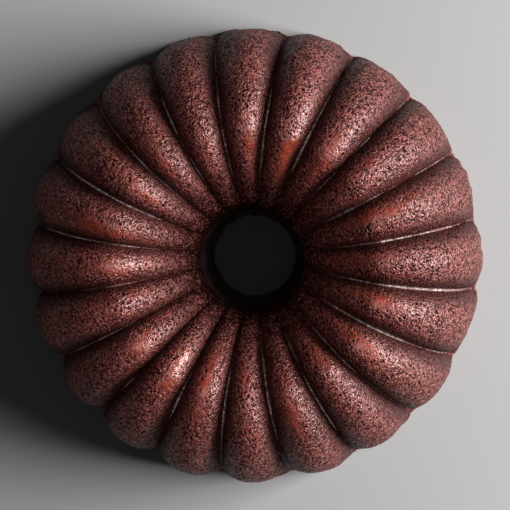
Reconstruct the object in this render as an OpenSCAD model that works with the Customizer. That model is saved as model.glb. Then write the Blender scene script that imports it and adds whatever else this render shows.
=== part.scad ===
// Ring cake baked in a fluted tube mould and turned out, flutes up.
// Its crust is modelled flute by flute round a soft inner crumb, over a flat base.
// The origin is the centre of the base, +Z points up, and a flute lies on +X.

/* [Ring] */
// Diameter across two opposite flutes at the foot
cake_d = 251; // [230:1:280]
// Height of the flute tops above the base
cake_h = 80; // [72:1:95]
// Flutes round the ring
flute_count = 20; // [16:1:24]
// Radius of the circle that the flute tops lie on
top_r = 70; // [62:1:78]

/* [Grooves] */
// Depth of the grooves below the flute tops
groove_drop = 10; // [5:0.5:14]
// Depth of the grooves at the foot of the flutes
groove_inset = 7.5; // [4:0.5:10]
// Depth of the notches round the edge of the base
notch_depth = 3.9; // [2:0.1:6]

/* [Hole] */
// Diameter of the hole through the base
hole_d = 45; // [36:1:50]
// Diameter of the hole where the flutes run out into it
throat_d = 54; // [52:1:60]
// Height at which the flutes run out
throat_z = 32; // [24:1:40]

/* [Crust] */
// Thickness of the crust on the flutes and in the hole
crust_t = 2.5; // [1.5:0.1:3.5]
// Thickness of the flat crust under the ring
base_t = 4; // [3:0.5:6]

/* [Smoothness] */
// Facets across the outside of each flute
across_steps = 8; // [4:2:12]
// Facets across the inside of each flute's crust
inside_steps = 4; // [2:2:8]
// Facets from the foot to the flute's top, and from there to the throat
along_steps = 9; // [6:1:12]

/* [Hidden] */
// How round each profile is: 2 is an ellipse, less is straighter
ridge_out_n = 2.1;
groove_out_n = 1.67;
ridge_in_n = 1.45;
groove_in_n = 1.3;
// The flute's cross-section is (1 - |u|^lobe_p)^lobe_q over its half width
lobe_p = 2.2;
lobe_q = 0.7;
round_fn = 96;

cake_r = cake_d / 2;
hole_r = hole_d / 2;
throat_r = throat_d / 2;
pitch = 360 / flute_count;
wall_slope = (throat_r - hole_r) / throat_z;
// In the outline of the base each flute is an arc through its notches, with its centre this far out
notch_r = cake_r - notch_depth;
foot_centre = (cake_r^2 - notch_r^2) / (2 * (cake_r - notch_r * cos(pitch / 2)));
crust_color = "#6b2f22";
crumb_color = "#4a2418";
base_color = "#7a3a2a";

function flute_name(i) = str("flute_crust_", i < 10 ? "0" : "", i);

// One quarter of a superellipse with half axes a and b: [distance out, height] at angle s
function quarter(a, b, n, s) = [a * pow(cos(s), 2 / n), b * pow(sin(s), 2 / n)];

// Profile from the foot (t = 0) over the top (t = 1) and down to the throat (t = 2)
function profile(t, foot_r, top_z, end_r, out_n, in_n) =
    t <= 1
    ? let (q = quarter(foot_r - top_r, top_z - base_t, out_n, 90 * t))
      [top_r + q[0], base_t + q[1]]
    : let (q = quarter(top_r - end_r, top_z - throat_z, in_n, 90 * (2 - t)))
      [top_r - q[0], throat_z + q[1]];

// The line along a flute's top and the line along a groove, each lying depth below the surface
function ridge(t, depth) =
    profile(t, cake_r - depth, cake_h - depth, throat_r + depth, ridge_out_n, ridge_in_n);
function groove(t, depth) =
    profile(t, cake_r - groove_inset - depth, cake_h - groove_drop - depth,
            throat_r + depth, groove_out_n, groove_in_n);

// Share of the way from the groove to the ridge at u, which is 0 on the ridge and 1 at a groove
function lobe(u) = pow(max(0, 1 - pow(abs(u), lobe_p)), lobe_q);

// Steps across a flute from -1 to 1, closer together beside the grooves
function across(k, steps) = sin(90 * (2 * k / steps - 1));

function skin_point(centre, u, t, depth) =
    let (g = groove(t, depth), p = g + (ridge(t, depth) - g) * lobe(u), a = centre + u * pitch / 2)
    [p[0] * cos(a), p[0] * sin(a), p[1]];

// Triangles over a grid of points whose rows are row points long
function grid_faces(start, rows, cells, row, flip) = [
    for (i = [0:rows - 1], k = [0:cells - 1])
        let (a = start + i * row + k, b = start + i * row + (k + 1) % row, c = b + row, d = a + row)
        each flip ? [[a, b, c], [a, c, d]] : [[a, c, b], [a, d, c]]
];

// Crust of one flute, from its foot over the top and down into the hole
module flute_crust(i) {
    rows = 2 * along_steps;
    outer_row = across_steps + 1;
    inner_row = inside_steps + 1;
    inner_start = outer_row * (rows + 1);
    centre = (i - 1) * pitch;
    points = [
        for (j = [0:rows], k = [0:across_steps])
            skin_point(centre, across(k, across_steps), j / along_steps, 0),
        for (j = [0:rows], k = [0:inside_steps])
            skin_point(centre, across(k, inside_steps), j / along_steps, crust_t)
    ];
    side_faces = [
        for (j = [0:rows - 1])
            let (a = j * outer_row, b = inner_start + j * inner_row)
            [a, b, b + inner_row, a + outer_row],
        for (j = [0:rows - 1])
            let (a = j * outer_row + across_steps, b = inner_start + j * inner_row + inside_steps)
            [a, a + outer_row, b + inner_row, b]
    ];
    foot_face = concat([for (k = [0:across_steps]) k],
                       [for (k = [inside_steps:-1:0]) inner_start + k]);
    throat_face = concat([for (k = [across_steps:-1:0]) rows * outer_row + k],
                         [for (k = [0:inside_steps]) inner_start + rows * inner_row + k]);
    color(crust_color)
        polyhedron(points, concat(
            grid_faces(0, rows, across_steps, outer_row, false),
            grid_faces(inner_start, rows, inside_steps, inner_row, true),
            side_faces, [foot_face, throat_face]));
}

// Soft inside of the ring, which fills the space between all the crusts
module crumb() {
    rows = 2 * along_steps;
    row = flute_count * inside_steps;
    skin = [
        for (j = [0:rows], i = [0:flute_count - 1], k = [0:inside_steps - 1])
            skin_point(i * pitch, across(k, inside_steps), j / along_steps, crust_t)
    ];
    wall_r = hole_r + wall_slope * base_t + crust_t;
    wall_foot = [
        for (i = [0:flute_count - 1], k = [0:inside_steps - 1])
            let (a = i * pitch + across(k, inside_steps) * pitch / 2)
            [wall_r * cos(a), wall_r * sin(a), base_t]
    ];
    last = (rows + 1) * row;
    bottom = [
        for (k = [0:row - 1])
            let (n = (k + 1) % row)
            each [[last + k, n, last + n], [last + k, k, n]]
    ];
    faces = concat(grid_faces(0, rows + 1, row, row, false), bottom);
    color(crumb_color) polyhedron(concat(skin, wall_foot), faces);
}

// Outline of the base: an arc for each flute, meeting its neighbours in a notch
module foot_outline() {
    for (i = [0:flute_count - 1])
        rotate(i * pitch) translate([foot_centre, 0]) circle(r = cake_r - foot_centre, $fn = round_fn);
    circle(r = foot_centre, $fn = round_fn);
}

// Flat crust under the ring, a little proud of the grooves
module base_crust() {
    color(base_color)
        difference() {
            linear_extrude(base_t) foot_outline();
            hole_lining_body(crust_t);
        }
}

// The hole's tapered wall as a solid plug, grown by depth all round
module hole_lining_body(depth) {
    rotate_extrude($fn = round_fn)
        polygon([[0, 0], [hole_r + depth, 0], [throat_r + depth, throat_z], [0, throat_z]]);
}

// Crust on the wall of the centre hole, left by the mould's tube
module hole_crust() {
    color(crust_color)
        rotate_extrude($fn = round_fn)
            polygon([[hole_r, 0], [hole_r + crust_t, 0],
                     [throat_r + crust_t, throat_z], [throat_r, throat_z]]);
}

crumb();
base_crust();
hole_crust();
for (i = [1:flute_count]) flute_crust(i);
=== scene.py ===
"""Looks of the fluted chocolate ring cake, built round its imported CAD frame.

Every skin here follows the CAD shape: flutes round a ring, a flat base and a tapered centre hole.
Pores, crumbs and cracks are real relief in the meshes, and the materials add what is finer than that.
Metres throughout, +Z up, and a flute lies on +X.
"""

import math

import bpy
import numpy as np
from mathutils import Matrix, Vector


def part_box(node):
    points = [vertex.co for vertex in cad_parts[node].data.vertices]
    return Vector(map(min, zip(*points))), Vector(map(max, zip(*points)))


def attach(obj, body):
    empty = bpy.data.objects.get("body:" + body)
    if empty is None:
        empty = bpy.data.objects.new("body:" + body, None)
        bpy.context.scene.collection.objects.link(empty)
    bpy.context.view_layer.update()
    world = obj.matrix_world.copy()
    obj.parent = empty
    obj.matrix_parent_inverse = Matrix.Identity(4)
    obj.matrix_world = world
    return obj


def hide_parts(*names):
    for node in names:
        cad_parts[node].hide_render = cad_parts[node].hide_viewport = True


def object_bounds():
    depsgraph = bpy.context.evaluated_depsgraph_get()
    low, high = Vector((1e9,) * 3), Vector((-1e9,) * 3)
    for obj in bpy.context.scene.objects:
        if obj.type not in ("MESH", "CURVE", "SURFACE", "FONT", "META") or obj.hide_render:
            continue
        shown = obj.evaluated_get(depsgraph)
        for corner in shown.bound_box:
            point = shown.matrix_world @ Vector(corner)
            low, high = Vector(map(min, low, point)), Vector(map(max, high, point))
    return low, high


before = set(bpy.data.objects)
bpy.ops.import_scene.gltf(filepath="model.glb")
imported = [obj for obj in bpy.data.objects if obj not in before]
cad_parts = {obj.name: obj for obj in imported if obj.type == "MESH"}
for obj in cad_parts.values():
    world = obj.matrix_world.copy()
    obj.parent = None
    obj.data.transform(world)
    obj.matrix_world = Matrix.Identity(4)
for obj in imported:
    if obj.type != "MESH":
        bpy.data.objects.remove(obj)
cad_box = [list(corner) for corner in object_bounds()]

MM = 0.001
BODY = "root"
UV_MAP = "OFBake"

# ---- Sizes taken from the frame ----
FLUTE_NODES = sorted(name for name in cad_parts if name.startswith("flute_crust_"))
FLUTES = len(FLUTE_NODES)
PITCH = 2 * math.pi / FLUTES
CAKE_R = cad_box[1][0]
CAKE_H = cad_box[1][2]
BASE_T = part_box("base_crust")[1].z
THROAT_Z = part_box("hole_crust")[1].z

# ---- Sizes the frame doesn't give, as in the CAD ----
CRUST_T = 2.5 * MM
HOLE_TAPER = 4.5 * MM
NOTCH_DEPTH = 3.9 * MM
GROOVE_DROP = 10 * MM
GROOVE_INSET = 7.5 * MM
TOP_R = 0.558 * CAKE_R
THROAT_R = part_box("hole_crust")[1].x - CRUST_T
HOLE_R = THROAT_R - HOLE_TAPER

# ---- Shape of the flutes, as in the CAD: exponents of the profiles and of the section ----
RIDGE_OUT_N, GROOVE_OUT_N = 2.1, 1.67
RIDGE_IN_N, GROOVE_IN_N = 1.45, 1.3
LOBE_P, LOBE_Q = 2.2, 0.7

# ---- Outline of the base: an arc for each flute ----
NOTCH_R = CAKE_R - NOTCH_DEPTH
FOOT_CENTRE = (CAKE_R ** 2 - NOTCH_R ** 2) / (2 * (CAKE_R - NOTCH_R * math.cos(PITCH / 2)))
FOOT_ARC_R = CAKE_R - FOOT_CENTRE

# ---- Finer than the CAD ----
LIP = 0.6 * MM  # how far the base stands out past the flutes' feet
CLEFT_HALF = 0.22 * MM  # half the width of a groove's flat floor
CLEFT_BLEND = 0.14 * MM  # rounding where the floor meets the flutes
FLARE_H = 9 * MM  # height over which a groove opens out towards the foot
FLARE_R = 3.0 * MM  # how far it runs outwards there
FLARE_W = 0.7 * MM  # how much wider each half gets there

# ---- Fineness ----
FLUTE_COLUMNS = 128
FLUTE_ROWS = 520
BACK_STEP = 8  # the back has one point for this many of the skin's
BACK_DEPTH = 0.9  # how deep it lies, as a share of the crust


# ---------------------------------------------------------------- noise

# The large odd numbers in hash01 only mix bits, and LOW_BITS keeps the lowest 32.
LOW_BITS = 0xFFFFFFFF


def hash01(ix, iy, iz, salt):
    """A repeatable random number from 0 to 1 for each lattice point. Each salt gives another set."""
    h = ix * 73856093 ^ iy * 19349663 ^ iz * 83492791 ^ salt * 2654435761
    h = (h ^ (h >> 13)) & LOW_BITS
    h = (h * 1274126177) & LOW_BITS
    h = ((h ^ (h >> 16)) * 2246822519) & LOW_BITS
    return (h ^ (h >> 15)).astype(np.float64) / (LOW_BITS + 1.0)


def smooth(t):
    """0 below 0, 1 above 1, and an even S between."""
    t = np.clip(t, 0, 1)
    return t * t * (3 - 2 * t)


def lattice(p, cell):
    """The lattice point below each p, and how far past it p lies, eased for blending."""
    scaled = p / cell
    low = np.floor(scaled)
    return low.astype(np.int64), smooth(scaled - low)


def noise3(points, cell, salt):
    """Value noise from -1 to 1 at points (..., 3), with features about one cell wide."""
    low, part = lattice(points, cell)
    total = 0
    for corner in range(8):
        step = [(corner >> axis) & 1 for axis in range(3)]
        weight = 1
        for axis in range(3):
            weight = weight * (part[..., axis] if step[axis] else 1 - part[..., axis])
        total = total + weight * hash01(*(low[..., axis] + step[axis] for axis in range(3)), salt)
    return 2 * total - 1


def noise2(x, y, cell, salt):
    """Value noise from -1 to 1 on a plane."""
    lx, px = lattice(x, cell)
    ly, py = lattice(y, cell)
    total = 0
    for sx in (0, 1):
        for sy in (0, 1):
            weight = (px if sx else 1 - px) * (py if sy else 1 - py)
            total = total + weight * hash01(lx + sx, ly + sy, 0 * lx, salt)
    return 2 * total - 1


def pores(x, y, cell, chance, small, large, salt):
    """Round pits scattered over a plane, one at most in each cell: 0 between them, up to 1 inside."""
    cx, cy = np.floor(x / cell).astype(np.int64), np.floor(y / cell).astype(np.int64)
    deepest = np.zeros_like(x)
    for dx in (-1, 0, 1):
        for dy in (-1, 0, 1):
            ix, iy = cx + dx, cy + dy
            zero = 0 * ix
            px = (ix + hash01(ix, iy, zero, salt)) * cell
            py = (iy + hash01(ix, iy, zero, salt + 1)) * cell
            size = hash01(ix, iy, zero, salt + 2)
            radius = small + (large - small) * size * size
            there = hash01(ix, iy, zero, salt + 3) < chance
            bowl = np.clip(1 - ((x - px) ** 2 + (y - py) ** 2) / radius ** 2, 0, 1)
            # steep sides and a flatter floor, deeper in a large pit
            bowl = bowl * 1.35 / (bowl + 0.35) * (0.55 + 0.45 * size)
            deepest = np.maximum(deepest, np.where(there, bowl, 0))
    return deepest


# ---------------------------------------------------------------- shape

def quarter(a, b, n, share):
    """A quarter of a superellipse: distance out and height at a share of the way up."""
    angle = np.clip(share, 0, 1) * math.pi / 2
    return a * np.abs(np.cos(angle)) ** (2 / n), b * np.sin(angle) ** (2 / n)


def profile(t, foot_r, top_z, out_n, in_n):
    """(r, z) from the foot at t = 0 over the top at t = 1 and down to the throat at t = 2."""
    out_r, out_z = quarter(foot_r - TOP_R, top_z - BASE_T, out_n, t)
    in_r, in_z = quarter(TOP_R - THROAT_R, top_z - THROAT_Z, in_n, 2 - t)
    r = np.where(t <= 1, TOP_R + out_r, TOP_R - in_r)
    z = np.where(t <= 1, BASE_T + out_z, THROAT_Z + in_z)
    return r, z


EASE_WEIGHTS = ((-2, 0.12), (-1, 0.23), (0, 0.30), (1, 0.23), (2, 0.12))


def eased(t, *shape):
    """The profile, evened out a little over its top."""
    reach = 0.036 * smooth((0.55 - np.abs(t - 1)) / 0.35)
    total = 0
    for step, weight in EASE_WEIGHTS:
        total = total + weight * np.stack(profile(t + step * reach, *shape))
    return total


def ridge(t):
    """The line along a flute's top."""
    return eased(t, CAKE_R - LIP, CAKE_H, RIDGE_OUT_N, RIDGE_IN_N)


def flare(t, z):
    """How close the groove is to the foot, where it opens out: 0 above, 1 at the foot."""
    return np.clip(1 - (z - BASE_T) / FLARE_H, 0, 1) * (t < 1)


def groove(t):
    """The groove's line, which runs out to meet the edge of the base."""
    r, z = eased(t, CAKE_R - GROOVE_INSET, CAKE_H - GROOVE_DROP, GROOVE_OUT_N, GROOVE_IN_N)
    return r + FLARE_R * flare(t, z) ** 2.2, z


def cleft_half(t, z):
    """Half the width of the groove's flat floor."""
    return CLEFT_HALF + FLARE_W * flare(t, z) ** 2


def lobe(u, half_width, floor_half):
    """Height of the flute's section from groove to ridge, with a narrow flat floor in the groove."""
    past = (1 - np.abs(u)) * half_width - floor_half
    past = (past + np.sqrt(past * past + CLEFT_BLEND ** 2)) / 2
    past = past - (np.sqrt(floor_half ** 2 + CLEFT_BLEND ** 2) - floor_half) / 2
    v = 1 - np.clip(past / (half_width - floor_half), 0, 1)
    return (1 - v ** LOBE_P) ** LOBE_Q


def around(r, angle, z):
    """Points at distance r from the axis, at an azimuth, with z as their last coordinate."""
    return np.stack([r * np.cos(angle), r * np.sin(angle), z], -1)


def foot_shift(angle):
    """How far the outline of the foot strays outwards at an azimuth: lumps, and corners on some flutes."""
    number = np.round(angle / PITCH).astype(np.int64)
    u = (angle - number * PITCH) / (PITCH / 2)
    zero = 0 * number
    square = hash01(number % FLUTES, zero, zero, 74) ** 2
    lean = hash01(number % FLUTES, zero, zero, 72) - 0.5
    corners = 1.5 * MM * square * (2.4 * u ** 2 * (1 - u ** 6) - 0.45 * (1 - u ** 2))
    corners = corners + 1.4 * MM * lean * u * (1 - u ** 4)
    ring = around(CAKE_R, angle, 0 * angle)
    return corners + 0.50 * MM * noise3(ring, 11 * MM, 73) + 0.50 * MM * noise3(ring, 4.5 * MM, 74)


def foot_radius(angle):
    """Outline of the base: an arc for each flute, meeting in softened notches."""
    near = angle - np.round(angle / PITCH) * PITCH
    r = FOOT_CENTRE * np.cos(near) + np.sqrt(FOOT_ARC_R ** 2 - (FOOT_CENTRE * np.sin(near)) ** 2)
    to_notch = (PITCH / 2 - np.abs(near)) * NOTCH_R
    return r + 0.6 * MM * np.exp(-(to_notch / (1.6 * MM)) ** 2) + foot_shift(angle)


def even_rows(rows):
    """Values of t that lie at equal steps along the profile."""
    t = np.linspace(0, 2, 4001)
    r1, z1 = ridge(t)
    r2, z2 = groove(t)
    steps = np.hypot(np.diff(r1 + r2), np.diff(z1 + z2)) / 2
    along = np.concatenate([[0], np.cumsum(steps)])
    return np.interp(np.linspace(0, along[-1], rows + 1), along, t)


def skin_grid(centre, u, t):
    """Points of a flute's smooth skin for columns u and rows t."""
    t = t[:, None]
    gr, gz = groove(t)
    rr, rz = ridge(t)
    f = lobe(u[None, :], gr * PITCH / 2, cleft_half(t, gz))
    r, z = gr + (rr - gr) * f, gz + (rz - gz) * f
    return around(r, centre + u[None, :] * PITCH / 2, z)


def unit(vectors):
    """Vectors at length 1, where they have a length at all."""
    return vectors / np.maximum(np.linalg.norm(vectors, axis=-1, keepdims=True), 1e-12)


def grid_normals(grid):
    """Unit normals of an open grid."""
    return unit(np.cross(np.gradient(grid, axis=1), np.gradient(grid, axis=0)))


def ring_normals(grid):
    """Unit normals of a grid that closes on itself both ways."""
    across = np.roll(grid, -1, 1) - np.roll(grid, 1, 1)
    along = np.roll(grid, -1, 0) - np.roll(grid, 1, 0)
    return unit(np.cross(across, along))


# ---------------------------------------------------------------- meshes

def grid_quads(start, rows, columns, flip=False):
    """Quads over a grid of (rows + 1) by (columns + 1) points."""
    i, k = np.meshgrid(np.arange(rows), np.arange(columns), indexing="ij")
    a = start + i * (columns + 1) + k
    quads = np.stack([a, a + 1, a + columns + 2, a + columns + 1], -1).reshape(-1, 4)
    return quads[:, ::-1] if flip else quads


def rim_loop(rows, columns):
    """The grid's edge as one loop of indices, starting at the first point."""
    row = columns + 1
    bottom = list(range(columns))
    right = [i * row + columns for i in range(rows)]
    top = [rows * row + k for k in range(columns, 0, -1)]
    left = [i * row for i in range(rows, 0, -1)]
    return bottom + right + top + left


def uv_block(rows, columns, margin, low, high):
    """Texture places for a grid of rows by columns points, between low and high up the texture."""
    across, up = np.linspace(margin, 1 - margin, columns), np.linspace(low, high, rows)
    return np.stack(np.meshgrid(across, up), -1).reshape(-1, 2)


def build(node, points, faces, attributes, uv, uv_corners, material):
    """A smooth-shaded skin that stands in for a CAD node, with float attributes on its points."""
    name = node.replace("crust", "skin")
    mesh = bpy.data.meshes.new(name)
    mesh.from_pydata(points, [], faces)
    mesh.polygons.foreach_set("use_smooth", np.ones(len(mesh.polygons), bool))
    for key, values in attributes.items():
        layer = mesh.attributes.new(key, "FLOAT", "POINT")
        layer.data.foreach_set("value", np.asarray(values, np.float32))
    layer = mesh.uv_layers.new(name=UV_MAP)
    layer.data.foreach_set("uv", np.asarray(uv, np.float32)[uv_corners].ravel())
    mesh.materials.append(material)
    mesh.update()
    piece = bpy.data.objects.new(name, mesh)
    bpy.context.scene.collection.objects.link(piece)
    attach(piece, BODY)
    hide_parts(node)


def build_ring(node, grid, attributes, material):
    """A piece that closes on itself round the axis and round its section."""
    rows, columns = grid.shape[:2]
    corners = grid_quads(0, rows, columns)
    i, k = corners // (columns + 1), corners % (columns + 1)
    faces = (i % rows) * columns + k % columns
    uv = uv_block(rows + 1, columns + 1, 0.003, 0.003, 0.997)
    attributes = {key: np.broadcast_to(value, grid.shape[:2]).ravel() for key, value in attributes.items()}
    build(node, grid.reshape(-1, 3), faces.tolist(), attributes, uv, corners.ravel(), material)


def distances(grid):
    """Distance across each row from its middle column, and distance up the middle column."""
    middle = grid.shape[1] // 2
    x = np.cumsum(np.linalg.norm(np.diff(grid, axis=1, prepend=grid[:, :1]), axis=-1), axis=1)
    y = np.cumsum(np.linalg.norm(np.diff(grid[:, middle], axis=0, prepend=grid[:1, middle]), axis=-1))
    return x - x[:, [middle]], np.broadcast_to(y[:, None], x.shape)


def crumbly(points, x, y, salt, crowd=1.0, calm=0.0):
    """Relief of a porous baked skin: its move along the normal, and how deep in a pore each point is."""
    wx = x + 0.42 * MM * noise2(x, y, 0.9 * MM, salt + 11)
    wy = y + 0.42 * MM * noise2(x, y, 0.9 * MM, salt + 12)
    large = pores(wx, wy, 1.8 * MM, 0.56, 0.34 * MM, 0.82 * MM, salt + 20) * crowd * (1 - 0.85 * calm)
    medium = pores(wx, wy, 1.0 * MM, 0.78, 0.24 * MM, 0.46 * MM, salt + 40) * (1 - 0.8 * calm)
    grains = noise3(points, 1.1 * MM, 41) + 0.8 * noise3(points, 2.0 * MM, 42)
    move = 0.12 * MM * grains * (1 - 0.9 * calm) - 0.72 * MM * large - 0.36 * MM * medium
    return move, np.maximum(large, 0.85 * medium)


def level_sides(normal, centre):
    """Lay the normals along both side edges in the plane that the flute shares with the next one."""
    for column, side in ((0, -1), (-1, 1)):
        turn = centre + side * PITCH / 2
        plane = np.array([-math.sin(turn), math.cos(turn), 0])
        edge = normal[:, column]
        normal[:, column] = unit(edge - (edge @ plane)[:, None] * plane)


def polished_spot(rng, grid, tt, uu):
    """Where the mould polished the flute's top: a patchy spot at a chance place, with a chance strength."""
    spot_t, spot_long = 1.10 + rng.uniform(-0.16, 0.12), 0.30 + rng.uniform(-0.08, 0.10)
    spot_u, strength = rng.uniform(-0.40, 0.40), rng.uniform(0.2, 1.0)
    spot = np.exp(-((tt - spot_t) / spot_long) ** 2 - ((uu - spot_u) / 0.40) ** 2)
    patchy = 0.80 + 0.35 * noise3(grid, 9 * MM, 31) + 0.25 * noise3(grid, 3.5 * MM, 32)
    patchy = patchy + 0.3 * noise3(grid, 1.4 * MM, 34)
    return np.clip(spot * strength * 1.35 * np.clip(patchy, 0.05, 1.3) - 0.08, 0, 1)


def foot_move(grid, tt, height, from_groove):
    """How the flute's foot follows the stray outline of the base, with knobs beside the notches."""
    angle = np.arctan2(grid[..., 1], grid[..., 0])
    stray = foot_shift(angle) * (1 - smooth(height / (22 * MM))) * (tt < 1)
    knobs = np.exp(-(from_groove / (4.5 * MM)) ** 2) * (1 - smooth(height / (9 * MM)))
    knobs = knobs * smooth(height / MM) * (tt < 1)
    stray = stray + knobs * (0.8 * MM * noise3(grid, 3.2 * MM, 47) + 0.45 * MM * noise3(grid, 1.6 * MM, 48))
    return around(1, angle, 0 * angle) * stray[..., None]


def looks_fields(grid, tt, uu, height, from_groove):
    """Values from 0 to 1 over a flute that its material uses."""
    # the pale line on the groove's floor, partly the floor's own pale colour and partly a painted highlight,
    # which thins out over the top, in the hole and low down
    floor_line_and_highlight = 1 - smooth((from_groove - cleft_half(tt, grid[..., 2]) + 0.05 * MM) / (0.44 * MM))
    floor_line_and_highlight = floor_line_and_highlight * (1 - 0.45 * smooth((tt - 0.95) / 0.3)) * (1 - smooth((tt - 1.32) / 0.25))
    floor_line_and_highlight = floor_line_and_highlight * (1 - smooth(1.6 * flare(tt, grid[..., 2])))
    floor_line_and_highlight = floor_line_and_highlight * (0.42 + 0.58 * smooth((height - 15 * MM) / (35 * MM)))
    patchy = 0.95 + 0.6 * noise3(grid, 6 * MM, 35) + 0.5 * noise3(grid, 2.2 * MM, 36)
    floor_line_and_highlight = floor_line_and_highlight * np.clip(patchy, 0.1, 1.1)
    # painted shade on the sides of the flute, beside that line
    groove_shade = smooth((from_groove - 0.3 * MM) / (0.4 * MM)) * smooth((np.abs(uu) - 0.40) / 0.48)
    # the outer wall and, less so, the slope into the hole, where the crumbs are coarser
    outer_wall = (1 - smooth((height - 35 * MM) / (50 * MM))) * (tt < 1)
    return {
        "floor_line_and_highlight": floor_line_and_highlight,
        "groove_shade": groove_shade * (1 - 0.4 * smooth((tt - 1.25) / 0.3)),
        # the redder, drier foot
        "toast": (1 - smooth(height / (7 * MM) + 0.35 * noise3(grid, 4 * MM, 45))) * (tt < 1),
        # the glossier top
        "crest": np.exp(-((tt - 1.02) / 0.42) ** 4),
        # painted shade: the low part of the outer wall is darker
        "low": (1 - smooth(height / (55 * MM))) * (tt < 1),
        "steep": np.maximum(outer_wall, 0.4 * smooth((tt - 1.25) / 0.35)),
        # painted shade on the slope into the hole, and a nearly black painted shadow at the end of it
        "shade": smooth((tt + 0.05 * noise3(grid, 3.5 * MM, 46) - 1.24) / 0.54),
        "deep": smooth((tt + 0.06 * noise3(grid, 2.5 * MM, 49) - 1.66) / 0.26),
    }


def flute(index, node, material):
    """One flute's crust: a pitted skin outside, a plain back, closed round its edges."""
    salt = 101 * (index + 1)
    rng = np.random.default_rng(salt)
    steps = np.linspace(-1, 1, FLUTE_COLUMNS + 1)
    u = 0.5 * steps + 0.5 * np.sin(steps * math.pi / 2)
    t = even_rows(FLUTE_ROWS)
    centre = index * PITCH
    grid = skin_grid(centre, u, t)
    normal = grid_normals(grid)
    level_sides(normal, centre)

    x, y = distances(grid)
    uu = np.broadcast_to(u[None, :], x.shape)
    tt = np.broadcast_to(t[:, None], x.shape)
    height = grid[..., 2] - BASE_T
    from_groove = np.abs(np.abs(x) - np.abs(x[:, [0]]))

    # no pores beside the grooves, fewer where it is polished, and crowds of them in patches
    polish = polished_spot(rng, grid, tt, uu)
    open_skin = smooth((from_groove - 0.6 * MM) / (1.5 * MM))
    crowd = np.clip(0.85 + 0.5 * noise3(grid, 14 * MM, 33), 0.25, 1)
    relief, pore = crumbly(grid, x, y, salt, crowd, polish)
    lumps = 0.45 * MM * noise3(grid, 26 * MM, 43) + 0.22 * MM * noise3(grid, 9 * MM, 44)
    wobble = 0.6 * MM * (rng.uniform(-1, 1) + rng.uniform(-1, 1) * uu) * (1 - np.abs(uu) ** 4)
    ends = smooth(np.minimum(tt, 2 - tt) / 0.03)
    outer = grid + normal * ((lumps + wobble + relief * open_skin) * ends)[..., None]
    outer = outer + foot_move(grid, tt, height, from_groove)

    # plain back, inside the crust
    back_rows, back_columns = FLUTE_ROWS // BACK_STEP, FLUTE_COLUMNS // BACK_STEP
    back = (grid - normal * CRUST_T * BACK_DEPTH)[::BACK_STEP, ::BACK_STEP]
    back[0, :, 2] = grid[0, ::BACK_STEP, 2]
    back[-1, :, 2] = grid[-1, ::BACK_STEP, 2]

    # each step of the back's edge is joined to a run of the skin's edge
    count = outer.shape[0] * outer.shape[1]
    faces = grid_quads(0, FLUTE_ROWS, FLUTE_COLUMNS).tolist()
    faces += grid_quads(count, back_rows, back_columns, flip=True).tolist()
    edge = rim_loop(FLUTE_ROWS, FLUTE_COLUMNS)
    back_edge = [count + k for k in rim_loop(back_rows, back_columns)]
    for k in range(len(back_edge)):
        run = [edge[(k * BACK_STEP + j) % len(edge)] for j in range(BACK_STEP + 1)]
        faces.append([back_edge[(k + 1) % len(back_edge)]] + run[::-1] + [back_edge[k]])

    uv = np.concatenate([uv_block(*outer.shape[:2], 0.005, 0.005, 0.93),
                         uv_block(*back.shape[:2], 0.005, 0.95, 0.995)])
    fields = {"pore": pore * open_skin, "polish": polish, **looks_fields(grid, tt, uu, height, from_groove)}
    pad = np.zeros(back.shape[0] * back.shape[1])
    fields = {key: np.concatenate([value.ravel(), pad]) for key, value in fields.items()}
    points = np.concatenate([outer.reshape(-1, 3), back.reshape(-1, 3)])
    fields["tone"] = np.full(len(points), rng.uniform(0, 1))
    build(node, points, faces, fields, uv, np.concatenate([np.array(face) for face in faces]), material)


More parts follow.
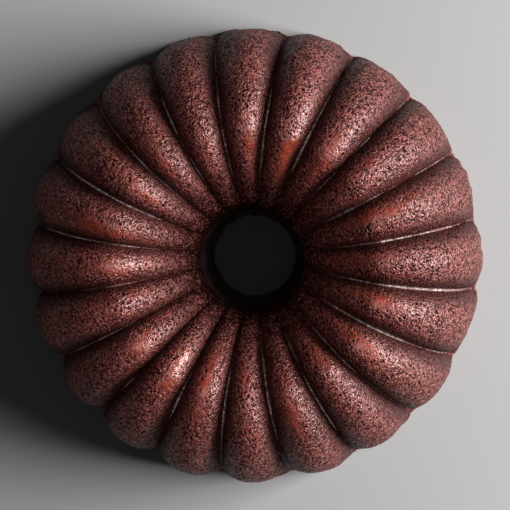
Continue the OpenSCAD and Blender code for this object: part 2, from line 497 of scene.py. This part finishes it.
def base(material):
    """Flat crust under the ring: coarse underneath, with a rounded, ragged edge."""
    columns, under = ((1000, 64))
    angle = np.linspace(0, 2 * math.pi, columns, endpoint=False)
    bend_steps, side_steps, top_steps = 6, 4, 8
    edge_steps = 2 * bend_steps + side_steps
    bend = np.linspace(0, math.pi / 2, bend_steps + 1)[1:]
    low, high, hole = 1.2 * MM, 1.3 * MM, HOLE_R + CRUST_T

    # The section runs from the hole out along the bottom, round the edge, and back over the top.
    # It lies inset metres out from the outline, and then flat, a share of the way from there to the hole.
    flat = np.concatenate([1 - np.linspace(0, 1, under), np.zeros(edge_steps),
                           np.linspace(0, 0.1, top_steps + 1)[1:], np.linspace(0.1, 1, top_steps + 1)[1:]])
    inset = np.concatenate([np.full(under, -low), low * np.sin(bend) - low, np.zeros(side_steps),
                            high * np.cos(bend) - high, np.full(2 * top_steps, -high)])
    z = np.concatenate([np.zeros(under), low - low * np.cos(bend),
                        np.linspace(low, BASE_T - high, side_steps + 2)[1:-1],
                        BASE_T - high + high * np.sin(bend), np.full(2 * top_steps, BASE_T)])
    r = foot_radius(angle)[None, :] + inset[:, None]
    r = r + flat[:, None] * (hole - r)
    grid = around(r, angle, np.broadcast_to(z[:, None], r.shape))
    normal = ring_normals(grid)

    # a ragged edge, with larger knobs beside the notches
    row = np.arange(len(z))
    at_edge = ((row > under - 3) & (row < under + edge_steps + 1))[:, None]
    to_notch = PITCH / 2 - np.abs(angle - np.round(angle / PITCH) * PITCH)
    knobs = 1 + 1.6 * np.exp(-(to_notch * NOTCH_R / (4 * MM)) ** 2)
    ragged = 0.30 * MM * noise3(grid, 2.4 * MM, 61) * knobs + 0.20 * MM * noise3(grid, 1.3 * MM, 62)
    ragged = ragged - 0.1 * MM

    # bowls and cracks underneath
    bowls = pores(grid[..., 0], grid[..., 1], 5.2 * MM, 0.8, 0.8 * MM, 2.3 * MM, 63)
    bowls = np.maximum(bowls, 0.6 * pores(grid[..., 0], grid[..., 1], 2.6 * MM, 0.7, 0.5 * MM, 1.0 * MM, 66))
    crack = 1 - smooth(np.abs(noise3(grid, 17 * MM, 64) + 0.3 * noise3(grid, 5 * MM, 65)) / 0.06)
    dish = 0.35 * MM * (1 + noise3(grid, 22 * MM, 67))
    beneath = ((row > 1) & (row < under - 2))[:, None]
    hollow = (dish + 0.9 * MM * bowls + 0.7 * MM * crack) * beneath
    grid = grid + normal * (ragged * at_edge - hollow)[..., None]
    grid[..., 2] = np.maximum(grid[..., 2], 0)
    fields = {
        "pore": np.maximum(bowls, crack) * beneath,
        "toast": 1.0 * at_edge,
        "tone": 0.5 + 0.5 * noise3(grid, 30 * MM, 68),
    }
    build_ring("base_crust", grid, fields, material)


def inner_wall(material):
    """Crust on the tapered wall of the centre hole, with a torn, uneven lower edge."""
    columns, rows = ((440, 72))
    angle = np.linspace(0, 2 * math.pi, columns, endpoint=False)
    down = np.linspace(1, 0, rows)
    up = np.linspace(0, 1, 7)
    r = np.concatenate([HOLE_R + (THROAT_R - HOLE_R) * down, HOLE_R + CRUST_T + (THROAT_R - HOLE_R) * up])
    z = THROAT_Z * np.concatenate([down, up])
    grid = around(r[:, None], angle, np.broadcast_to(z[:, None], (len(z), columns)))
    normal = ring_normals(grid)
    x = np.broadcast_to(angle[None, :] * THROAT_R, grid.shape[:2])
    y = np.broadcast_to(z[:, None], grid.shape[:2])
    relief, pore = crumbly(grid, x, y, 4001)
    torn = 1.20 * MM * noise3(grid, 2.4 * MM, 82) + 0.75 * MM * noise3(grid, 1.3 * MM, 83)
    lumps = 0.60 * MM * noise3(grid, 6 * MM, 81) + torn * (0.3 + 0.7 * smooth(1 - y / (6 * MM))) - 0.1 * MM
    wall = (np.arange(len(z)) < rows)[:, None]
    fade = wall * smooth((THROAT_Z - y) / (2.5 * MM))
    grid = grid + normal * ((relief + lumps) * fade)[..., None]
    grid[..., 2] = np.clip(grid[..., 2], 0, THROAT_Z)
    build_ring("hole_crust", grid, {"pore": pore * wall}, material)


# ---------------------------------------------------------------- materials

# Linear colours of the flutes' crust
CRUST_DARK, CRUST_BROWN = (0.088, 0.0125, 0.0092, 1), (0.172, 0.0290, 0.0205, 1)
CRUST_TONE = (0.160, 0.0280, 0.0190, 1)
GRAIN_PALE = (0.295, 0.1060, 0.0920, 1)
PATCH_RED = (0.215, 0.0270, 0.0135, 1)
POLISH_DARK, POLISH_ORANGE = (0.120, 0.0165, 0.0078, 1), (0.250, 0.0385, 0.0160, 1)
TOAST_RED = (0.240, 0.0650, 0.0500, 1)
# painted shade for the low part of the outer wall
PAINTED_LOW_SHADE = (0.044, 0.0130, 0.0120, 1)
CRUMB_PALE = (0.355, 0.1480, 0.1340, 1)
COARSE_PALE = (0.325, 0.1380, 0.1260, 1)
# painted shade in the pores and winding gaps, and in the coarse gaps
PORE_SHADE_PAINT = (0.012, 0.0022, 0.0018, 1)
GAP_SHADE_PAINT = (0.014, 0.0032, 0.0026, 1)
# painted shade beside the grooves
GROOVE_SHADE_PAINT = (0.020, 0.0048, 0.0040, 1)
# partly the groove floor's pale colour, partly a painted highlight
CLEFT_PALE_AND_HIGHLIGHT = (0.620, 0.5100, 0.4900, 1)
# painted shade on the slope into the hole
SHADE_FILTER = (0.10, 0.09, 0.09, 1)
# painted glints on that slope
GLINT_PALE = (0.280, 0.0900, 0.0800, 1)
# nearly black painted shadow at the end of that slope
PAINTED_DEEP_SHADOW = (0.002, 0.0006, 0.0005, 1)

# Tints of its reflections, darkened as painted shade in the hollows and in the hole
SHEEN_OPEN = (1, 0.94, 0.94, 1)
SHEEN_SHADE = (0.32, 0.12, 0.115, 1)
SHEEN_HOLLOW_SHADE = (0.20, 0.055, 0.050, 1)
SHEEN_DEEP_SHADOW = (0.02, 0.008, 0.008, 1)

# Linear colours of the other crusts, the crumb and the floor
FOOT_BROWN, FOOT_PALE = (0.090, 0.0260, 0.0180, 1), (0.150, 0.0480, 0.0330, 1)
FOOT_TONE = (0.060, 0.0180, 0.0130, 1)
FOOT_EDGE = (0.105, 0.0215, 0.0165, 1)
FOOT_GRAIN = (0.280, 0.1050, 0.0880, 1)
# painted shade in the base's gaps, and in its bowls and cracks underneath
FOOT_GAP_SHADE = (0.014, 0.0030, 0.0024, 1)
FOOT_PORE_SHADE = (0.018, 0.0060, 0.0048, 1)
# the hole wall's dark bake, darkened further as painted shade
WALL_DARK, WALL_BROWN = (0.0065, 0.0022, 0.0020, 1), (0.026, 0.0085, 0.0070, 1)
# painted shade in the hole wall's pores
WALL_PORE_SHADE = (0.003, 0.0012, 0.0011, 1)
SPONGE_DARK, SPONGE_BROWN = (0.040, 0.0130, 0.0080, 1), (0.095, 0.0330, 0.0210, 1)
# painted shade in the crumb's bubbles
BUBBLE_SHADE_PAINT = (0.012, 0.0045, 0.0030, 1)
FLOOR_GREY = (0.43, 0.43, 0.43, 1)


class Nodes:
    """Short calls for a material's node tree."""

    def __init__(self, name):
        self.material = bpy.data.materials.new(name)
        self.material.use_nodes = True
        self.tree = self.material.node_tree
        self.shader = next(n for n in self.tree.nodes if n.type == "BSDF_PRINCIPLED")
        self.place = self.add("ShaderNodeTexCoord").outputs["Object"]

    def add(self, kind):
        """A new node."""
        return self.tree.nodes.new(kind)

    def feed(self, socket, value):
        """Link a node's output to a socket, or set the socket to a plain value."""
        if isinstance(value, bpy.types.NodeSocket):
            self.tree.links.new(value, socket)
        elif value is not None:
            socket.default_value = value

    def field(self, name):
        """A value stored on the mesh's points."""
        node = self.add("ShaderNodeAttribute")
        node.attribute_name = name
        return node.outputs["Fac"]

    def noise(self, size, detail=3.0, rough=0.55, lumpy=0.0):
        """Noise with features about size metres wide, and wavier ones the more lumpy it is."""
        node = self.add("ShaderNodeTexNoise")
        self.feed(node.inputs["Vector"], self.place)
        node.inputs["Scale"].default_value = 1 / size
        node.inputs["Detail"].default_value = detail
        node.inputs["Roughness"].default_value = rough
        node.inputs["Distortion"].default_value = lumpy
        return node.outputs["Fac"]

    def cells(self, size, output="Distance"):
        """Cells about size metres wide: the distance from each cell's middle, or a random colour for each."""
        node = self.add("ShaderNodeTexVoronoi")
        self.feed(node.inputs["Vector"], self.place)
        node.inputs["Scale"].default_value = 1 / size
        return node.outputs[output]

    def span(self, value, low, high, to_low=0.0, to_high=1.0):
        """Value stretched from low..high to to_low..to_high, and held inside."""
        node = self.add("ShaderNodeMapRange")
        self.feed(node.inputs["Value"], value)
        node.inputs["From Min"].default_value = low
        node.inputs["From Max"].default_value = high
        node.inputs["To Min"].default_value = to_low
        node.inputs["To Max"].default_value = to_high
        return node.outputs["Result"]

    def calc(self, operation, a, b):
        """A sum, product or other operation on two numbers."""
        node = self.add("ShaderNodeMath")
        node.operation = operation
        self.feed(node.inputs[0], a)
        self.feed(node.inputs[1], b)
        return node.outputs[0]

    def mix(self, share, a, b, blend="MIX"):
        """Colour a with a share of colour b laid over it."""
        node = self.add("ShaderNodeMix")
        node.data_type = "RGBA"
        node.blend_type = blend
        self.feed(node.inputs["Factor"], share)
        self.feed(node.inputs["A"], a)
        self.feed(node.inputs["B"], b)
        return node.outputs["Result"]

    def bump(self, height, distance, strength, normal=None):
        """Fine relief, distance metres deep, on top of another relief if there is one."""
        node = self.add("ShaderNodeBump")
        node.inputs["Distance"].default_value = distance
        self.feed(node.inputs["Strength"], strength)
        self.feed(node.inputs["Height"], height)
        self.feed(node.inputs["Normal"], normal)
        return node.outputs["Normal"]


def crust_material():
    """Baked chocolate crust: pale raised grains and a redder polish on the flute tops, with painted shade in
    the pores, beside the grooves, low down and in the hole, painted glints, and a pale groove line that is
    partly a painted highlight.
    """
    n = Nodes("flute_crust_looks")
    pore, polish, floor_line_and_highlight = n.field("pore"), n.field("polish"), n.field("floor_line_and_highlight")
    groove_shade, toast, shade, tone = n.field("groove_shade"), n.field("toast"), n.field("shade"), n.field("tone")
    crest, low, steep, deep = n.field("crest"), n.field("low"), n.field("steep"), n.field("deep")
    mottle, patch = n.noise(16 * MM, 4), n.noise(5.5 * MM, 3)
    grain = n.noise(1.15 * MM, 3, 0.65)
    worms = n.noise(1.45 * MM, 1.5, 0.5, 1.0)
    speck = n.cells(1.0 * MM)
    crumbs = n.cells(0.95 * MM, "Color")
    coarse = n.noise(1.7 * MM, 2, 0.55, 0.6)

    # broad browns, then pale grain, red patches, the polish, the foot and painted shade on the low wall
    colour = n.mix(n.span(mottle, 0.35, 0.68), CRUST_DARK, CRUST_BROWN)
    colour = n.mix(n.span(tone, 0, 1, 0, 0.35), colour, CRUST_TONE)
    colour = n.mix(n.span(grain, 0.48, 0.66, 0, 0.50), colour, GRAIN_PALE)
    colour = n.mix(n.span(patch, 0.50, 0.66, 0, 0.50), colour, PATCH_RED)
    polished = n.mix(n.span(n.noise(2.6 * MM, 3), 0.36, 0.64), POLISH_DARK, POLISH_ORANGE)
    colour = n.mix(n.span(polish, 0.0, 0.8, 0, 0.78), colour, polished)
    colour = n.mix(n.span(toast, 0, 1, 0, 0.45), colour, TOAST_RED)
    colour = n.mix(n.span(low, 0.15, 0.85, 0, 0.45), colour, PAINTED_LOW_SHADE)

    # pale crumbs and winding gaps with painted shade in them, and coarser ones of both where the skin is
    # steep
    rough_skin = n.span(polish, 0.0, 0.75, 1, 0.10)
    pale_crumbs = n.calc("MULTIPLY", n.span(crumbs, 0.60, 0.76, 0, 0.50), rough_skin)
    colour = n.mix(pale_crumbs, colour, CRUMB_PALE)
    winding = n.calc("MULTIPLY", n.span(worms, 0.48, 0.40, 0, 0.93), rough_skin)
    colour = n.mix(winding, colour, PORE_SHADE_PAINT)
    coarse_crumbs = n.calc("MULTIPLY", n.span(coarse, 0.54, 0.66, 0, 0.42), steep)
    colour = n.mix(coarse_crumbs, colour, COARSE_PALE)
    gap = n.calc("MULTIPLY", n.span(coarse, 0.47, 0.40, 0, 0.82), steep)
    colour = n.mix(gap, colour, GAP_SHADE_PAINT)

    # painted shade in the pores and on the flanks, and the pale line between them, which is partly a painted
    # highlight
    pit = n.calc("MULTIPLY", n.span(speck, 0.14, 0.34, 1, 0), n.span(polish, 0.0, 0.6, 0.9, 0.05))
    pit = n.calc("MAXIMUM", n.span(pore, 0.05, 0.5, 0, 0.94), pit)
    colour = n.mix(pit, colour, PORE_SHADE_PAINT)
    colour = n.mix(n.span(groove_shade, 0, 1, 0, 0.74), colour, GROOVE_SHADE_PAINT)
    pale = n.span(n.noise(1.8 * MM, 3), 0.38, 0.60, 0.25, 1.0)
    colour = n.mix(n.calc("MULTIPLY", floor_line_and_highlight, pale), colour, CLEFT_PALE_AND_HIGHLIGHT)

    # painted shade on the slope into the hole, painted glints on it, and a nearly black painted shadow at its
    # end
    colour = n.mix(n.calc("MULTIPLY", shade, 0.90), colour, SHADE_FILTER, "MULTIPLY")
    glint = n.calc("MULTIPLY", n.span(crumbs, 0.68, 0.76, 0, 0.42), shade)
    colour = n.mix(glint, colour, GLINT_PALE)
    colour = n.mix(n.calc("MULTIPLY", deep, 0.85), colour, PAINTED_DEEP_SHADOW)
    n.feed(n.shader.inputs["Base Color"], colour)

    rough = n.calc("SUBTRACT", n.span(polish, 0.0, 0.8, 0.41, 0.40), n.calc("MULTIPLY", crest, 0.18))
    rough = n.calc("ADD", rough, n.calc("MULTIPLY", shade, 0.10))
    rough = n.calc("ADD", rough, n.span(grain, 0.3, 0.7, 0.12, -0.06))
    rough = n.calc("ADD", rough, n.span(pore, 0.05, 0.5, 0, 0.40))
    rough = n.calc("ADD", rough, n.span(toast, 0, 1, 0, 0.20))
    rough = n.calc("SUBTRACT", rough, n.calc("MULTIPLY", floor_line_and_highlight, 0.15))
    n.feed(n.shader.inputs["Roughness"], rough)

    # painted shade on the reflections: dark in every hollow and beside the grooves, dimmer on the slope into
    # the hole and nearly gone at its end
    n.shader.inputs["Specular IOR Level"].default_value = 0.6
    dips = n.calc("MAXIMUM", winding, gap)
    hollow = n.calc("MAXIMUM", dips, n.calc("MAXIMUM", pit, n.span(groove_shade, 0, 1, 0, 0.6)))
    sheen = n.mix(shade, SHEEN_OPEN, SHEEN_SHADE)
    sheen = n.mix(hollow, sheen, SHEEN_HOLLOW_SHADE)
    sheen = n.mix(n.calc("MULTIPLY", deep, 0.8), sheen, SHEEN_DEEP_SHADOW)
    n.feed(n.shader.inputs["Specular Tint"], sheen)

    relief = n.bump(speck, 0.30 * MM, n.span(polish, 0.0, 0.8, 0.8, 0.15))
    relief = n.bump(worms, 0.45 * MM, n.span(polish, 0.0, 0.8, 0.8, 0.10), relief)
    relief = n.bump(grain, 0.36 * MM, n.span(polish, 0.0, 0.8, 0.9, 0.45), relief)
    n.feed(n.shader.inputs["Normal"], relief)
    return n.material


def foot_material():
    """Drier crust of the base: redder and rougher than the flutes, cracked underneath."""
    n = Nodes("base_crust_looks")
    pore, toast, tone = n.field("pore"), n.field("toast"), n.field("tone")
    grain = n.noise(0.9 * MM, 4, 0.65)
    mottle = n.noise(12 * MM, 4)
    colour = n.mix(n.span(mottle, 0.35, 0.65), FOOT_BROWN, FOOT_PALE)
    colour = n.mix(n.span(tone, 0.2, 0.8, 0, 0.4), colour, FOOT_TONE)
    colour = n.mix(n.span(toast, 0, 1, 0, 0.7), colour, FOOT_EDGE)
    colour = n.mix(n.span(grain, 0.50, 0.70, 0, 0.5), colour, FOOT_GRAIN)
    # painted shade in the gaps, and in the bowls and cracks underneath
    colour = n.mix(n.span(n.noise(1.6 * MM, 1.5, 0.5, 1.0), 0.50, 0.40, 0, 0.85), colour, FOOT_GAP_SHADE)
    colour = n.mix(n.span(pore, 0.1, 0.8, 0, 0.85), colour, FOOT_PORE_SHADE)
    n.feed(n.shader.inputs["Base Color"], colour)
    n.feed(n.shader.inputs["Roughness"], n.span(grain, 0.3, 0.7, 0.88, 0.62))
    n.shader.inputs["Specular IOR Level"].default_value = 0.3
    relief = n.bump(n.cells(1.4 * MM), 0.30 * MM, 0.6)
    n.feed(n.shader.inputs["Normal"], n.bump(grain, 0.45 * MM, 0.9, relief))
    return n.material


def wall_material():
    """Nearly black crust from against the mould's tube, partly its own dark bake and partly painted shade."""
    n = Nodes("hole_crust_looks")
    grain = n.noise(1.1 * MM, 4, 0.6)
    # partly the tube's dark bake, partly painted shade
    colour = n.mix(n.span(grain, 0.40, 0.72), WALL_DARK, WALL_BROWN)
    # painted shade in the pores
    colour = n.mix(n.span(n.field("pore"), 0.1, 0.7, 0, 0.9), colour, WALL_PORE_SHADE)
    n.feed(n.shader.inputs["Base Color"], colour)
    n.feed(n.shader.inputs["Roughness"], n.span(grain, 0.3, 0.7, 0.80, 0.60))
    n.shader.inputs["Specular IOR Level"].default_value = 0.15
    n.feed(n.shader.inputs["Normal"], n.bump(grain, 0.4 * MM, 0.8))
    return n.material


def sponge_material():
    """Soft crumb: matt, full of bubbles with painted shade in their bottoms."""
    n = Nodes("crumb_looks")
    bubble = n.cells(2.4 * MM)
    grain = n.noise(0.8 * MM, 4, 0.65)
    colour = n.mix(n.span(grain, 0.35, 0.65), SPONGE_DARK, SPONGE_BROWN)
    # painted shade in the bottoms of the bubbles
    colour = n.mix(n.span(bubble, 0.10, 0.42, 0.85, 0), colour, BUBBLE_SHADE_PAINT)
    n.feed(n.shader.inputs["Base Color"], colour)
    n.feed(n.shader.inputs["Roughness"], n.span(grain, 0.3, 0.7, 0.95, 0.80))
    relief = n.bump(bubble, 0.9 * MM, 0.8)
    n.feed(n.shader.inputs["Normal"], n.bump(grain, 0.4 * MM, 0.8, relief))
    return n.material


# ---------------------------------------------------------------- stage

def make_floor():
    """A plain pale floor under the cake."""
    n = Nodes("floor_paint")
    n.shader.inputs["Base Color"].default_value = FLOOR_GREY
    n.shader.inputs["Roughness"].default_value = 1
    n.shader.inputs["Specular IOR Level"].default_value = 0
    half = 3.0
    corners = [(-half, -half, 0), (half, -half, 0), (half, half, 0), (-half, half, 0)]
    mesh = bpy.data.meshes.new("floor")
    mesh.from_pydata(corners, [], [(0, 1, 2, 3)])
    mesh.materials.append(n.material)
    floor = bpy.data.objects.new("floor", mesh)
    bpy.context.scene.collection.objects.link(floor)
    return floor


def area_light(name, azimuth, elevation, distance, size, watts, colour):
    """A soft panel light that looks at the cake from azimuth degrees round from +X."""
    data = bpy.data.lights.new(name, "AREA")
    data.shape = "RECTANGLE"
    data.size, data.size_y = size
    data.energy = watts
    data.color = colour
    lamp = bpy.data.objects.new(name, data)
    bpy.context.scene.collection.objects.link(lamp)
    a, e = math.radians(azimuth), math.radians(elevation)
    lamp.location = Vector((math.cos(e) * math.cos(a), math.cos(e) * math.sin(a), math.sin(e))) * distance
    lamp.rotation_euler = (-lamp.location).to_track_quat("-Z", "Y").to_euler()
    return lamp


def leave_dark(lamp, obj):
    """Keep a lamp's light off an object."""
    skipped = bpy.data.collections.new(lamp.name + "_skips")
    skipped.objects.link(obj)
    skipped.collection_objects[0].light_linking.link_state = "EXCLUDE"
    lamp.light_linking.receiver_collection = skipped


def make_camera():
    """Nearly straight down, tipped a little towards +X +Y, as in the photo."""
    tilt, towards, roll = math.radians(5.7), math.radians(43), math.radians(0.7)
    distance = 1.0
    frame_width = 1.13 * 2 * CAKE_R
    data = bpy.data.cameras.new("camera")
    data.sensor_width = 36
    data.lens = data.sensor_width * distance / frame_width
    camera = bpy.data.objects.new("camera", data)
    bpy.context.scene.collection.objects.link(camera)
    out = math.sin(tilt)
    camera.location = Vector((out * math.cos(towards), out * math.sin(towards), math.cos(tilt))) * distance
    back = camera.location.normalized()
    up = Vector((math.sin(roll), math.cos(roll), 0))
    right = up.cross(back).normalized()
    turn = Matrix((right, back.cross(right), back)).transposed()
    camera.matrix_world = Matrix.Translation(camera.location) @ turn.to_4x4()
    bpy.context.scene.camera = camera


def make_world():
    """A faint bluish light from all round."""
    world = bpy.data.worlds.new("studio")
    bpy.context.scene.world = world
    world.use_nodes = True
    background = world.node_tree.nodes["Background"]
    background.inputs["Color"].default_value = (0.90, 0.93, 1, 1)
    background.inputs["Strength"].default_value = 0.03


make_camera()
make_world()
floor = make_floor()
area_light("window", azimuth=5, elevation=22, distance=1.5, size=(1.0, 0.8), watts=68,
           colour=(1, 0.99, 0.985))
ceiling = area_light("ceiling", azimuth=0, elevation=83, distance=1.4, size=(0.9, 0.9), watts=7.6,
                     colour=(0.94, 0.95, 0.99))
# the floor seen through the hole is as dark as in the photo
leave_dark(ceiling, floor)
bpy.context.scene.view_settings.view_transform = "Standard"

crust_looks = crust_material()
for index, node in enumerate(FLUTE_NODES):
    flute(index, node, crust_looks)
base(foot_material())
inner_wall(wall_material())
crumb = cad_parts["crumb"]
crumb.data.materials.clear()
crumb.data.materials.append(sponge_material())
